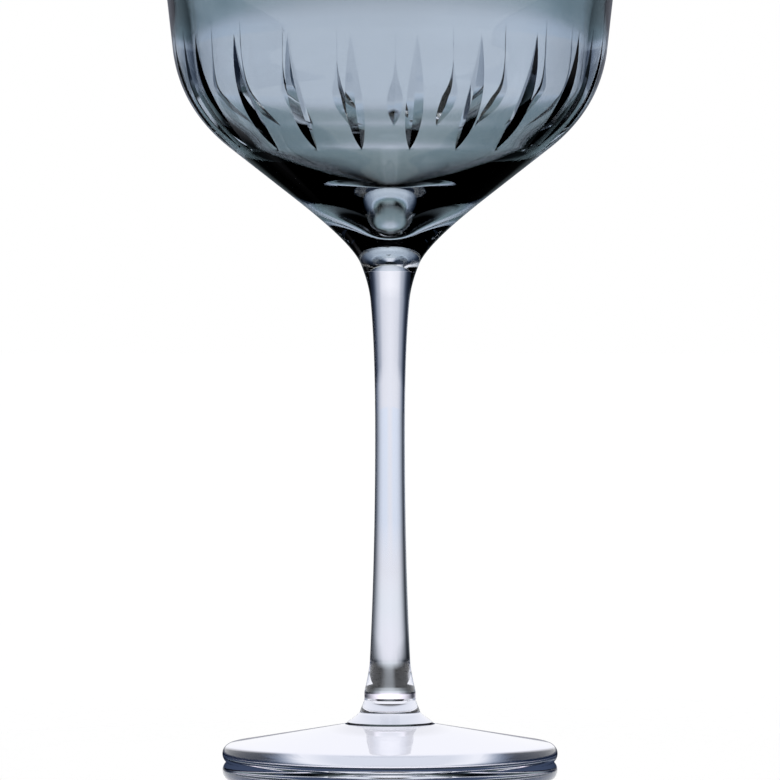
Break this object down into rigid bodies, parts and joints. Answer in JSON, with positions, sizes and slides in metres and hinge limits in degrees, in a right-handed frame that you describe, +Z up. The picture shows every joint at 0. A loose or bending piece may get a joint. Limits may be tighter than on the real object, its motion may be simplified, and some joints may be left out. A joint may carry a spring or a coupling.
{
  "type": "cocktail glass",
  "caption": "Stemmed cocktail glass with a deep smoke-tinted bowl, a ring of leaf-shaped wheel cuts, a slim clear stem, a collar and a round disc foot.",
  "frame": {"origin": "centre of the foot's resting ring, on the surface that the glass stands on", "axes": "+Z up along the glass's axis to the rim, -Y towards the viewer of the picture"},
  "size_m": [0.095, 0.095, 0.17],
  "materials": {
    "clear_glass": "polished clear crystal",
    "smoke_glass": "polished crystal with a smoke blue-grey tint, wheel-cut"
  },
  "bodies": {
    "root": {"foot": "clear_glass", "collar": "clear_glass", "stem": "clear_glass", "bowl": "smoke_glass"}
  },
  "joints": []
}
